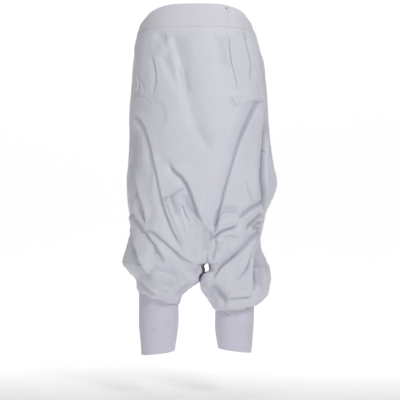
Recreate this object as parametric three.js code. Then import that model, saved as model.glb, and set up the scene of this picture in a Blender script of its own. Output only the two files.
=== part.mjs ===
import * as THREE from "three";

// Harem pants on a hollow, open form. Millimetres, +Z up, front at -Y, "left" is the viewer's left.
// The origin is the middle of the waist opening, level with its sides.
const cloth = 1.5; // wall of the two panels
const seam = 0.3; // space left between pieces where they are sewn

// ---- body: a row per level, half sizes measured from x = 0, y = 0; middle is where the legs part
const body = [
  { z: 45, left: 141, right: 141, front: 96, back: 95, middle: 0 },
  { z: 0, left: 142.5, right: 138, front: 98, back: 97, middle: 0 },
  { z: -24, left: 150, right: 148, front: 100, back: 100, middle: 0 },
  { z: -52, left: 155, right: 155.5, front: 103, back: 104, middle: 0 },
  { z: -82, left: 156, right: 161, front: 106, back: 110, middle: 1 },
  { z: -112, left: 159, right: 166, front: 109, back: 115, middle: 2 },
  { z: -172, left: 163, right: 172, front: 114, back: 121, middle: 4 },
  { z: -232, left: 166, right: 175, front: 118, back: 123, middle: 6 },
  { z: -292, left: 167, right: 182, front: 120, back: 122, middle: 9 },
  { z: -352, left: 168, right: 189, front: 121, back: 120, middle: 12 },
  { z: -390, left: 169, right: 195, front: 121, back: 119, middle: 14 },
  { z: -425, left: 169, right: 184, front: 120, back: 117, middle: 16 },
  { z: -472, left: 169, right: 170, front: 118, back: 115, middle: 19 },
  { z: -517, left: 167, right: 159, front: 116, back: 112, middle: 22 },
  { z: -547, left: 171, right: 158, front: 113, back: 109, middle: 24 },
  { z: -570, left: 181, right: 164, front: 109, back: 105, middle: 25 },
  { z: -587, left: 186, right: 171, front: 106, back: 102, middle: 26 },
];
// ---- legs: a row per ring from the crotch to the edge tucked inside the roll above the cuff
const legLeft = [
  { zOut: -587, zIn: -587, out: -186, inn: 24.6, front: 106, back: 102, sag: 0 },
  { zOut: -605, zIn: -608, out: -176, inn: 17, front: 106, back: 102, sag: 0 },
  { zOut: -622, zIn: -628, out: -158, inn: 5, front: 104, back: 101, sag: 0 },
  { zOut: -634, zIn: -645, out: -153, inn: -9, front: 98, back: 97, sag: 0 },
  { zOut: -643, zIn: -664, out: -152, inn: -32, front: 88, back: 88, sag: 2 },
  { zOut: -650, zIn: -680, out: -152, inn: -40, front: 76, back: 77, sag: 4 },
  { zOut: -654, zIn: -689, out: -149.5, inn: -43.5, front: 62, back: 64, sag: 5 },
  { zOut: -648, zIn: -683, out: -146.3, inn: -45.6, front: 52, back: 53, sag: 3 },
  { zOut: -638, zIn: -672, out: -145.6, inn: -46.4, front: 48.6, back: 48.6, sag: 0 },
];
const legRight = [
  { zOut: -587, zIn: -587, out: 171, inn: 27.4, front: 106, back: 102, sag: 0 },
  { zOut: -604, zIn: -604, out: 180, inn: 31, front: 107, back: 102, sag: 0 },
  { zOut: -622, zIn: -622, out: 183, inn: 14, front: 106, back: 101, sag: 0 },
  { zOut: -641, zIn: -640, out: 183, inn: 4, front: 102, back: 98, sag: 0 },
  { zOut: -657, zIn: -656, out: 181, inn: 8, front: 95, back: 92, sag: 1 },
  { zOut: -672, zIn: -675, out: 173, inn: 26, front: 87, back: 85, sag: 4 },
  { zOut: -683, zIn: -692, out: 159, inn: 38, front: 76, back: 74, sag: 7 },
  { zOut: -684, zIn: -699, out: 150, inn: 42.5, front: 62, back: 62, sag: 8 },
  { zOut: -677, zIn: -693, out: 144.6, inn: 45.2, front: 52, back: 53, sag: 5 },
  { zOut: -667, zIn: -681, out: 143, inn: 46, front: 48.6, back: 48.6, sag: 0 },
];
// ---- cuffs: a row per ring from the seam inside the roll to the hem
const cuffLeft = [
  { zOut: -638, zIn: -672, out: -145, inn: -47, front: 48, back: 48, sag: 0 },
  { zOut: -690, zIn: -700, out: -145, inn: -46, front: 48, back: 49, sag: 0 },
  { zOut: -742, zIn: -742, out: -145, inn: -46.5, front: 47, back: 48, sag: 0 },
  { zOut: -780, zIn: -777, out: -142, inn: -50.5, front: 44, back: 45, sag: 0 },
  { zOut: -818, zIn: -808, out: -138.5, inn: -56, front: 40, back: 41, sag: 0 },
];
const cuffRight = [
  { zOut: -667, zIn: -681, out: 142.4, inn: 46.6, front: 48, back: 48, sag: 0 },
  { zOut: -712, zIn: -714, out: 142.4, inn: 45.6, front: 48, back: 49, sag: 0 },
  { zOut: -750, zIn: -748, out: 141, inn: 45, front: 46, back: 47, sag: 0 },
  { zOut: -785, zIn: -778, out: 138.5, inn: 48, front: 43, back: 44, sag: 0 },
  { zOut: -812, zIn: -801, out: 135.5, inn: 53, front: 39, back: 40, sag: 0 },
];
// ---- waist edge and band seam: height at each angle from the front, 0 to 180
const waistEdge = [
  { angle: 0, top: 43.5, band: -12 },
  { angle: 22, top: 42, band: -12 },
  { angle: 36, top: 35.5, band: -12 },
  { angle: 48, top: 26.5, band: -13 },
  { angle: 60, top: 13, band: -16 },
  { angle: 75, top: 3, band: -21 },
  { angle: 90, top: 0, band: -25 },
  { angle: 135, top: 9, band: -24 },
  { angle: 180, top: 18, band: -22 },
];
// ---- folds: a row per main crease, by its start, middle and end on the view named in face.
// x runs across that view (y on the sides); side says which way the raised lap lies going down
// the crease, 1 to the right and -1 to the left of someone looking at that view.
const fold = (face, x0, z0, x1, z1, x2, z2, side, rise, wide, narrow) =>
  ({ face, x0, z0, x1, z1, x2, z2, side, rise, wide, narrow });
const folds = [
  fold("front", 168, -182, 96, -310, 41, -516, 1, 14.9, 67, 35),
  fold("front", -152, -224, -96, -380, -20, -578, -1, 14.9, 48, 40),
  fold("front", -160, -352, -143, -415, -128, -480, -1, 6.9, 30, 26),
  fold("front", -72, -340, -26, -402, 20, -502, 1, 10.8, 69, 32),
  fold("front", -84, -426, -58, -423, -30, -404, 1, 4.6, 30, 26),
  fold("front", -71, -429, -59, -445, -50, -466, -1, 4.6, 30, 26),
  fold("front", 38, -524, 70, -506, 106, -490, 1, 9.5, 39, 26),
  fold("front", 56, -466, 80, -459, 106, -470, 1, 4.6, 30, 26),
  fold("front", 102, -480, 131, -456, 163, -440, -1, 6.9, 32, 26),
  fold("front", 108, -522, 132, -503, 166, -474, 1, 6.9, 30, 27),
  fold("front", 146, -508, 92, -558, 38, -628, -1, 10.8, 39, 27),
  fold("front", 150, -514, 128, -566, 94, -634, 1, 9.5, 30, 26),
  fold("front", 150, -560, 144, -608, 140, -666, 1, 10.8, 34, 26),
  fold("front", 60, -690, 100, -676, 138, -664, 1, 4.6, 30, 26),
  fold("front", -168, -520, -146, -582, -100, -628, 1, 12.2, 39, 30),
  fold("front", -166, -460, -122, -524, -76, -598, -1, 10.8, 34, 26),
  fold("front", -124, -502, -66, -538, 4, -590, -1, 9.5, 37, 32),
  fold("front", -116, -590, -72, -608, -20, -638, -1, 6.9, 41, 27),
  fold("front", -115, -68, -104, -124, -106, -178, -1, 4.6, 30, 26),
  fold("front", -103, -184, -84, -206, -82, -246, -1, 4.6, 30, 26),
  fold("front", -158, -180, -132, -187, -106, -200, -1, 5.8, 30, 26),
  fold("front", -61, -18, -46, -92, -22, -200, -1, 4.6, 51, 40),
  fold("front", -24, -90, -2, -180, 50, -330, -1, 5.8, 57, 54),
  fold("front", 75, -8, 81, -76, 99, -172, 1, 5.8, 30, 26),
  fold("front", 118, 0, 130, -74, 122, -152, -1, 5.8, 30, 26),
  fold("front", 80, -180, 93, -204, 103, -226, 1, 3.4, 30, 26),
  fold("front", 172, -190, 165, -310, 164, -470, -1, 12.2, 39, 40),
  fold("back", 150, -150, 96, -320, 24, -540, -1, 14.9, 60, 40),
  fold("back", -140, -120, -88, -300, -22, -520, 1, 14.9, 55, 38),
  fold("back", 40, -60, 36, -190, 16, -330, -1, 6.9, 57, 49),
  fold("back", -60, -50, -52, -160, -28, -280, 1, 6.9, 51, 40),
  fold("back", 158, -380, 110, -460, 40, -570, -1, 10.8, 41, 30),
  fold("back", -160, -360, -118, -470, -44, -580, 1, 12.2, 44, 32),
  fold("back", 166, -500, 124, -570, 70, -640, -1, 10.8, 37, 27),
  fold("back", -162, -500, -120, -570, -60, -640, 1, 10.8, 37, 27),
  fold("back", 160, -570, 140, -620, 118, -672, 1, 6.9, 30, 26),
  fold("right", -20, -90, 8, -240, -10, -400, 1, 5, 62, 46),
  fold("right", 40, -230, 10, -400, -36, -520, -1, 5, 62, 46),
  fold("right", 62, -420, 20, -520, 0, -650, -1, 5, 62, 46),
  fold("left", 20, -80, -6, -230, 14, -390, -1, 5, 62, 46),
  fold("left", -50, -250, -6, -400, 36, -540, 1, 5, 62, 46),
  fold("left", -60, -470, -16, -560, 14, -630, 1, 5, 62, 46),
];

const clamp = (v, lo, hi) => Math.min(hi, Math.max(lo, v));
const mix = (a, b, t) => a + (b - a) * t;
const ease = (lo, hi, v) => {
  const t = clamp((v - lo) / (hi - lo), 0, 1);
  return t * t * (3 - 2 * t);
};
const power = (v, p) => Math.sign(v) * Math.abs(v) ** p;
const rad = Math.PI / 180;

// A column of a table read smoothly at place p, counted in rows.
function column(rows, name, p) {
  const i = clamp(Math.floor(p), 0, rows.length - 2);
  const t = p - i;
  const at = (k) => rows[clamp(k, 0, rows.length - 1)][name];
  const [a, b, c, d] = [at(i - 1), at(i), at(i + 1), at(i + 2)];
  return b + 0.5 * t * (c - a + t * (2 * a - 5 * b + 4 * c - d + t * (3 * (b - c) + d - a)));
}
// The place, counted in rows, where the key column has this value.
function place(rows, key, value) {
  const falling = rows[0][key] > rows[1][key];
  let i = 0;
  while (i < rows.length - 2 && (falling ? rows[i + 1][key] > value : rows[i + 1][key] < value)) i++;
  return clamp(i + (value - rows[i][key]) / (rows[i + 1][key] - rows[i][key]), 0, rows.length - 1);
}

// ---- the two side seams, as angles from the front: at the hips and on the legs
const sideSeam = { left: 74, right: 60, leg: 78 };
// Angles round the body and round the leg at column place s: 0 is the front middle or the inside of
// the leg, 1 the side seam, 2 the back middle or the inside of the leg again.
function angles(side, s, z) {
  const hip = side < 0 ? sideSeam.left : sideSeam.right;
  const straight = s <= 1 ? s * hip : hip + (s - 1) * (180 - hip);
  const leg = s <= 1 ? -90 + s * (90 + sideSeam.leg) : sideSeam.leg + (s - 1) * (270 - sideSeam.leg);
  const across = (1 + power(Math.sin(leg * rad), 0.92)) / 2;
  const lined = Math.asin(clamp(across, 0, 1) ** (1 / 0.84)) / rad;
  const matched = Math.cos(leg * rad) >= 0 ? lined : 180 - lined;
  return { body: mix(straight, matched, ease(-230, -540, z)), leg };
}
function bodyPoint(side, angle, z) {
  const p = place(body, "z", z);
  const get = (name) => column(body, name, p);
  const middle = get("middle");
  const half = side < 0 ? get("left") + middle : get("right") - middle;
  const c = power(Math.cos(angle * rad), 0.84);
  const x = middle + side * half * Math.abs(Math.sin(angle * rad)) ** 0.84;
  return [x, c > 0 ? -get("front") * c : -get("back") * c, z];
}
function ringPoint(rows, angle, p, roundness = 0.92) {
  const get = (name) => column(rows, name, p);
  const out = get("out");
  const inn = get("inn");
  const s = power(Math.sin(angle * rad), roundness);
  const c = power(Math.cos(angle * rad), roundness);
  const level = mix(get("zIn"), get("zOut"), (1 + s) / 2) - get("sag") * Math.max(0, c);
  return [mix(inn, out, (1 + s) / 2), c > 0 ? -get("front") * c : -get("back") * c, level];
}

// ---- one level of the garment, as a grid point (row place v, column place s) on one side
const crotch = -587;
const closing = 50; // how far above the crotch the middle of the bag turns under in an arch
const parting = -420; // where the cloth to each side of it starts to go over to its leg's round form
const levels = [];
for (let i = 0; i <= 2; i++) levels.push({ band: i / 2 });
for (let i = 1; i <= 25; i++) levels.push({ z: mix(-20, crotch + closing, i / 25) });
for (let i = 1; i <= 5; i++) {
  const turn = (i * Math.PI) / 10;
  const under = crotch + closing * (1 - Math.sin(turn));
  levels.push({ z: mix(crotch + closing, crotch, i / 5), under, arch: 1 - Math.cos(turn) });
}
const lastBody = levels.length - 1;
for (let i = 1; i <= 14; i++) levels.push({ leg: i < 7 ? i / 10.5 : 0.571 + ((i - 6) * 0.429) / 8 });
const bandSeam = 2; // the level where the panels meet the waistband

function gridPoint(side, level, s) {
  const rows = side < 0 ? legLeft : legRight;
  if (level.leg !== undefined) {
    const { leg } = angles(side, s, -600);
    const point = ringPoint(rows, leg, level.leg * (rows.length - 1));
    // where the legs press together, the right one laps in front of the left one
    const contact = 3 + 5 * Math.tanh(point[1] / 22) + 40 * ease(-608, -590, point[2]);
    const room = side * (point[0] - contact) - 1;
    const push = 1.5 * Math.log1p(Math.exp(-room / 1.5)) * ease(-596, -606, point[2]);
    if (level.leg < 0.6 && room < 8) point[0] += side * push;
    return point;
  }
  if (level.band !== undefined) {
    const { body: angle } = angles(side, s, 0);
    const turned = Math.abs(angle - 3 * (side < 0 ? -1 : 1) * Math.sin(angle * rad));
    const p = place(waistEdge, "angle", turned);
    const z = mix(column(waistEdge, "top", p), column(waistEdge, "band", p), level.band);
    return bodyPoint(side, angle, z);
  }
  const { body: angle, leg } = angles(side, s, level.z);
  const turned = Math.abs(angle - 3 * (side < 0 ? -1 : 1) * Math.sin(angle * rad));
  const low = column(waistEdge, "band", place(waistEdge, "angle", turned));
  const apart = ease(0.1, 0.5, Math.min(s, 2 - s)); // 0 in the middle, which arches under, 1 away from it
  const down = level.arch ? mix(level.under, level.z, apart) : level.z;
  const z = down + (low + 20) * ease(-150, -20, down);
  const onBody = bodyPoint(side, angle, z);
  const onLeg = ringPoint(rows, leg, 0);
  const face = onLeg[1] < 0 ? "front" : "back";
  const depth = column(body, face, place(body, "z", z)) / body[body.length - 1][face];
  const arch = level.arch || 0;
  const over = mix(arch, ease(parting, crotch, z), apart);
  return [mix(onBody[0], onLeg[0], arch), mix(onBody[1], onLeg[1] * depth, over), z];
}

// ---- how far the cloth stands off its plain form at a point with this normal
function foldAt(point, normal) {
  let rise = 0;
  for (const f of folds) {
    const flat = f.face === "front" || f.face === "back";
    const out = { front: -normal[1], back: normal[1], left: -normal[0], right: normal[0] }[f.face];
    const facing = ease(0.12, 0.45, out);
    if (!facing) continue;
    // x across the view as its viewer sees it
    const turn = f.face === "front" || f.face === "right" ? 1 : -1;
    const x = (flat ? point[0] : point[1]) * turn;
    const ends = [f.x0, f.x1, f.x2].map((v) => v * turn);
    const bend = [2 * ends[1] - (ends[0] + ends[2]) / 2, 2 * f.z1 - (f.z0 + f.z2) / 2];
    let near = Infinity;
    let along = 0;
    let off = 0;
    for (let k = 0; k <= 40; k++) {
      const t = k / 40;
      const lx = (1 - t) ** 2 * ends[0] + 2 * t * (1 - t) * bend[0] + t * t * ends[2];
      const lz = (1 - t) ** 2 * f.z0 + 2 * t * (1 - t) * bend[1] + t * t * f.z2;
      const d = Math.hypot(x - lx, point[2] - lz);
      if (d < near) {
        near = d;
        along = t;
        const dx = 2 * (1 - t) * (bend[0] - ends[0]) + 2 * t * (ends[2] - bend[0]);
        const dz = 2 * (1 - t) * (bend[1] - f.z0) + 2 * t * (f.z2 - bend[1]);
        const down = dz < 0 ? 1 : -1;
        off = ((x - lx) * -dz + (point[2] - lz) * dx) / Math.hypot(dx, dz) * down * f.side;
      }
    }
    if (near > Math.max(f.wide, f.narrow)) continue;
    const fade = ease(0, 0.25, along) * ease(1, 0.78, along);
    const q = clamp(off > 0 ? off / f.wide : -off / f.narrow, 0, 1);
    const lap = 6.75 * q * (1 - q) ** 2;
    rise += facing * fade * f.rise * (off > 0 ? lap : (-lap * f.narrow) / f.wide);
  }
  return rise;
}

// ---- the whole garment as one surface, so its two panels share the form along every seam
const columns = { front: 19, back: 15 }; // on each side, from the middle to the side seam
const across = columns.front + columns.back;
const points = [];
const index = new Map();
const rowOf = [];
function vertex(side, row, col) {
  // the two sides meet on the middle lines, and each leg closes on its inside
  let key;
  if (row === lastBody && (col === 0 || col === across)) key = "crotch";
  else if (row < lastBody && (col === 0 || col === across)) key = "m" + row + "_" + col;
  else if (row > lastBody) key = side + "_" + row + "_" + (col % across);
  else key = side + "_" + row + "_" + col;
  if (!index.has(key)) {
    const s = col <= columns.front ? col / columns.front : 1 + (col - columns.front) / columns.back;
    const level = levels[row];
    const point = key === "crotch" ? [26, 0, crotch] : gridPoint(side, level, s);
    index.set(key, points.length);
    rowOf.push(row);
    points.push(point);
  }
  return index.get(key);
}
const quads = [];
for (const side of [-1, 1])
  for (let row = 0; row < levels.length - 1; row++)
    for (let col = 0; col < across; col++) {
      const corners = [[row, col], [row, col + 1], [row + 1, col + 1], [row + 1, col]];
      quads.push({ side, row, col, q: corners.map(([r, c]) => vertex(side, r, c)) });
    }
// Area-weighted normals that point out of the garment.
function normalsOf(list) {
  const sum = list.map(() => new THREE.Vector3());
  const v = (i) => new THREE.Vector3(...list[i]);
  for (const { side, q } of quads) {
    const d1 = v(q[2]).sub(v(q[0]));
    const d2 = v(q[3]).sub(v(q[1]));
    const n = d1.cross(d2).multiplyScalar(-side);
    q.forEach((i) => sum[i].add(n));
  }
  return sum.map((n) => n.normalize().toArray());
}
const plain = normalsOf(points);
const rises = [];
const draped = points.map((point, i) => {
  const row = rowOf[i];
  // nothing moves on the band, and the folds die away into the roll above the cuffs
  const keep = row <= bandSeam ? 0 : row <= lastBody ? ease(2, 6, row) : ease(1, 0.62, levels[row].leg);
  const rise = keep * foldAt(point, plain[i]);
  rises.push(rise);
  return point.map((v, k) => v + plain[i][k] * rise);
});
const outward = normalsOf(draped);

// ---- a wall: rows of show-side points with their normals, joined to a lining side and closed
// round its edges. A grid that closes on itself has the same point ids in its first and last column.
function wall(name, color, thickness, quadsOf, place) {
  const verts = [];
  const local = new Map();
  const use = (id) => {
    if (!local.has(id)) {
      const { point, normal } = place(id);
      local.set(id, verts.length);
      verts.push(point, point.map((v, k) => v - normal[k] * thickness));
    }
    return local.get(id);
  };
  const edges = new Map();
  const triangles = [];
  for (const quad of quadsOf) {
    const f = quad.map(use);
    triangles.push([f[0], f[1], f[2]], [f[0], f[2], f[3]]);
    triangles.push([f[2] + 1, f[1] + 1, f[0] + 1], [f[3] + 1, f[2] + 1, f[0] + 1]);
    for (let k = 0; k < 4; k++) {
      const [a, b] = [f[k], f[(k + 1) % 4]];
      if (edges.has(b + "_" + a)) edges.delete(b + "_" + a);
      else edges.set(a + "_" + b, [a, b]);
    }
  }
  for (const [a, b] of edges.values()) triangles.push([b, a, a + 1], [b, a + 1, b + 1]);
  const geometry = new THREE.BufferGeometry();
  geometry.setAttribute("position", new THREE.Float32BufferAttribute(verts.flat(), 3));
  geometry.setIndex(triangles.flat());
  geometry.computeVertexNormals();
  const mesh = new THREE.Mesh(geometry, new THREE.MeshStandardMaterial({ color, roughness: 0.9 }));
  mesh.name = name;
  return mesh;
}
const toward = (a, b, d) => {
  const step = new THREE.Vector3(...b).sub(new THREE.Vector3(...a)).setLength(d);
  return a.map((v, k) => v + step.getComponent(k));
};

// ---- front and back panels: their cut edges stand half a seam back from the seam lines
function panel(name, color, first, last) {
  const front = first === 0;
  const own = quads.filter(({ row, col }) => row >= bandSeam && col >= first && col < last);
  const pulls = new Map();
  const pull = (id, other) => pulls.set(id, [...(pulls.get(id) || []), other]);
  for (const { row, col, q } of own) {
    if (row === bandSeam) q.slice(0, 2).forEach((id, k) => pull(id, q[3 - k]));
    if (col === first && (row >= lastBody || !front)) [0, 3].forEach((k) => pull(q[k], q[k ? 2 : 1]));
    if (col === last - 1 && (row >= lastBody || front)) [1, 2].forEach((k) => pull(q[k], q[k === 1 ? 0 : 3]));
  }
  const crotchPoint = index.get("crotch");
  return wall(
    name,
    color,
    cloth,
    own.map(({ side, q }) => {
      const turned = side > 0 ? q.slice().reverse() : q;
      // split each quad along the crease, not across it
      const [a, b, c, d] = turned.map((id) => rises[id]);
      return Math.abs(b - d) < Math.abs(a - c) ? [...turned.slice(1), turned[0]] : turned;
    }),
    (id) => {
      let point = draped[id];
      if (id === crotchPoint) point = [point[0], (front ? -1 : 1) * seam * 0.6, point[2] + 0.3];
      else for (const other of pulls.get(id) || []) point = toward(point, draped[other], seam / 2 + 0.02);
      return { point, normal: id === crotchPoint ? [0, front ? 0.1 : -0.1, -1] : outward[id] };
    },
  );
}

// ---- waistband: a strip that starts under its own end at the placket and runs round to it
const band = { thick: 2, placket: 29, under: 9, step: 2.6, rows: 3 };
function waistband() {
  const turns = [];
  for (let a = band.placket - band.under; a < 360 + band.placket; a += a < 42 ? 2.2 : 5.2) turns.push(a);
  turns.push(360 + band.placket);
  const at = (a, share, inset = 0) => {
    const wrapped = ((a + 180) % 360) - 180;
    const side = wrapped < 0 ? -1 : 1;
    const turned = Math.abs(wrapped - 3 * Math.sin(wrapped * rad));
    const p = place(waistEdge, "angle", turned);
    const z = mix(column(waistEdge, "top", p), column(waistEdge, "band", p) + seam, share);
    const point = bodyPoint(side, Math.abs(wrapped), z);
    const length = Math.hypot(point[0], point[1]);
    return [point[0] * (1 - inset / length), point[1] * (1 - inset / length), point[2]];
  };
  const grid = turns.map((a) => {
    const inset = band.step * (1 - ease(band.placket + 1, band.placket + 8, a)) * (a < 90 ? 1 : 0);
    return Array.from({ length: band.rows + 1 }, (_, r) => at(a, r / band.rows, inset));
  });
  const flat = grid.flat();
  const n = band.rows + 1;
  const normal = (i) => {
    const [c, r] = [Math.floor(i / n), i % n];
    const spot = (turn, row) => grid[clamp(turn, 0, turns.length - 1)][clamp(row, 0, n - 1)];
    const v = (turn, row) => new THREE.Vector3(...spot(turn, row));
    const along = v(c + 1, r).sub(v(c - 1, r));
    const down = v(c, r - 1).sub(v(c, r + 1));
    return along.cross(down).normalize().toArray();
  };
  const quadsOf = [];
  for (let c = 0; c < turns.length - 1; c++)
    for (let r = 0; r < band.rows; r++) {
      const i = c * n + r;
      quadsOf.push([i, i + 1, i + n + 1, i + n]);
    }
  return wall("waistband", 0xdcdce0, band.thick, quadsOf, (i) => ({ point: flat[i], normal: normal(i) }));
}

// ---- cuffs: close tubes whose ring angles match those of the leg above
function cuff(name, side, rows) {
  const rings = 9;
  const spots = [];
  for (let r = 0; r <= rings; r++)
    for (let c = 0; c < across; c++) {
      const s = c <= columns.front ? c / columns.front : 1 + (c - columns.front) / columns.back;
      spots.push(ringPoint(rows, angles(side, s, -600).leg, (r / rings) * (rows.length - 1)));
    }
  const id = (r, c) => r * across + (c % across);
  const quadsOf = [];
  for (let r = 0; r < rings; r++)
    for (let c = 0; c < across; c++) {
      const q = [id(r, c), id(r, c + 1), id(r + 1, c + 1), id(r + 1, c)];
      quadsOf.push(side > 0 ? q.reverse() : q);
    }
  const normal = (i) => {
    const [r, c] = [Math.floor(i / across), i % across];
    const v = (a, b) => new THREE.Vector3(...spots[id(a, b)]);
    const around = v(r, c + 1).sub(v(r, c + across - 1)).multiplyScalar(side);
    const down = v(Math.min(r + 1, rings), c).sub(v(Math.max(r - 1, 0), c));
    return down.cross(around).normalize().toArray();
  };
  return wall(name, 0xd6d4da, cloth, quadsOf, (i) => ({ point: spots[i], normal: normal(i) }));
}

// ---- stud: a small domed button that closes the lapped band ends
function stud() {
  const profile = [[0, 0], [2.3, 0], [2.3, 0.9], [1.8, 1.5], [0.9, 1.8], [0, 1.9]];
  const geometry = new THREE.LatheGeometry(profile.map(([x, y]) => new THREE.Vector2(x, y)), 20);
  const mesh = new THREE.Mesh(geometry, new THREE.MeshStandardMaterial({ color: 0x9a9a9e, roughness: 0.4 }));
  mesh.name = "waist_stud";
  const angle = band.placket - 2.4;
  const p = place(waistEdge, "angle", angle - 3 * Math.sin(angle * rad));
  const z = column(waistEdge, "top", p) - 8;
  const a = bodyPoint(1, angle - 0.5, z);
  const b = bodyPoint(1, angle + 0.5, z);
  const out = new THREE.Vector3(b[1] - a[1], a[0] - b[0], 0).normalize();
  mesh.quaternion.setFromUnitVectors(new THREE.Vector3(0, 1, 0), out);
  const on = bodyPoint(1, angle, z);
  mesh.position.set(...on).addScaledVector(out, 0.3);
  return mesh;
}

const pants = new THREE.Group();
pants.add(
  panel("front", 0xd2d2d8, 0, columns.front),
  panel("back", 0xcecfd5, columns.front, across),
  waistband(),
  cuff("cuff_left", -1, cuffLeft),
  cuff("cuff_right", 1, cuffRight),
  stud(),
);
export default pants;
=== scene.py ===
import math
import bmesh
import bpy
import numpy as np
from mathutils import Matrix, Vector, noise


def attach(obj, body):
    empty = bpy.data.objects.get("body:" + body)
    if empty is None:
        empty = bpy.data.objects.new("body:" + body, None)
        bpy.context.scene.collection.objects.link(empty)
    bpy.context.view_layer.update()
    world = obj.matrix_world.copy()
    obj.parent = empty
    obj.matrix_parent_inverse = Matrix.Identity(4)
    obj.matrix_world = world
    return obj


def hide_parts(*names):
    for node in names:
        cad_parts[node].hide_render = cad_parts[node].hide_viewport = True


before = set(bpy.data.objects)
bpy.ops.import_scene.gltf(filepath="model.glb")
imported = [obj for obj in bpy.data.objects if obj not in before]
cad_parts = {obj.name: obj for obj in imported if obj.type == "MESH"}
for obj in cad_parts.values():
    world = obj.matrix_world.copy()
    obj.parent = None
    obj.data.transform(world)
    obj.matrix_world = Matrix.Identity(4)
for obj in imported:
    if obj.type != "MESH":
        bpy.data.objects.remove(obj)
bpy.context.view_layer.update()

# ------------------------------------------------------------
# Front and back panels. Each is one piece of crisp lilac-grey cotton for both legs, sewn to the
# other at the hips and inside the legs, taken into the waistband and rolled under over the cuffs.
# They share one draped form, so its sizes and creases stand here for both, in millimetres.
body = dict(
    z=[45, 0, -24, -52, -82, -112, -172, -232, -292, -352, -390, -425, -472, -517, -547, -570, -587],
    left=[141, 142.5, 150, 155, 156, 159, 163, 166, 167, 168, 169, 169, 169, 167, 171, 181, 186],
    right=[141, 138, 148, 155.5, 161, 166, 172, 175, 182, 189, 195, 184, 170, 159, 158, 164, 171],
    front=[96, 98, 100, 103, 106, 109, 114, 118, 120, 121, 121, 120, 118, 116, 113, 109, 106],
    back=[95, 97, 100, 104, 110, 115, 121, 123, 122, 120, 119, 117, 115, 112, 109, 105, 102],
    middle=[0, 0, 0, 0, 1, 2, 4, 6, 9, 12, 14, 16, 19, 22, 24, 25, 26],
)
legs = {
    -1: dict(
        z_out=[-587, -594, -606, -622, -634, -643, -650, -654, -648, -638],
        z_in=[-587, -592, -610, -628, -645, -664, -680, -689, -683, -672],
        out=[-186, -184, -176, -158, -151, -149.5, -150, -149, -146.3, -145.6],
        inn=[24.6, 15.5, 16.5, 9, -9, -32, -40, -43.5, -45.6, -46.4],
        front=[106, 106.5, 106, 104, 98, 88, 76, 62, 52, 48.6],
        back=[102, 102, 102, 101, 97, 88, 77, 64, 53, 48.6],
        sag=[0, 0, 0, 0, 0, 2, 4, 5, 3, 0],
    ),
    1: dict(
        z_out=[-587, -595, -605, -622, -641, -657, -672, -683, -684, -677, -667],
        z_in=[-587, -592, -605, -615, -638, -656, -675, -692, -699, -693, -681],
        out=[171, 176, 180, 183, 183, 181, 173, 159, 150, 144.6, 143],
        inn=[27.4, 30, 29, 9, 4, 8, 26, 38, 42.5, 45.2, 46],
        front=[106, 106.5, 107, 106, 102, 95, 87, 76, 62, 52, 48.6],
        back=[102, 102, 102, 101, 98, 92, 85, 74, 62, 53, 48.6],
        sag=[0, 0, 0, 0, 0, 1, 4, 7, 8, 5, 0],
    ),
}
waist_edge = dict(
    angle=[0, 22, 36, 48, 60, 75, 90, 135, 180],
    top=[43.5, 42, 35.5, 26.5, 13, 3, 0, 9, 18],
    band=[-12, -12, -12, -13, -16, -21, -25, -24, -22],
)
side_seam = {-1: 74, 1: 60, "leg": 78}  # angles from the front at the hips, and on both legs
crotch, parting = -587, -420  # heights of the crotch and of where the legs start to part
closing = 26  # height over the crotch in which the body's middle turns under to it
crotch_across = body["middle"][-1]
hip_round, leg_round = 0.84, 0.92  # powers of the rings: 1 is an oval, less is squarer
edge_turn = 3  # degrees by which the waist edge's table is shifted at the sides

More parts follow.
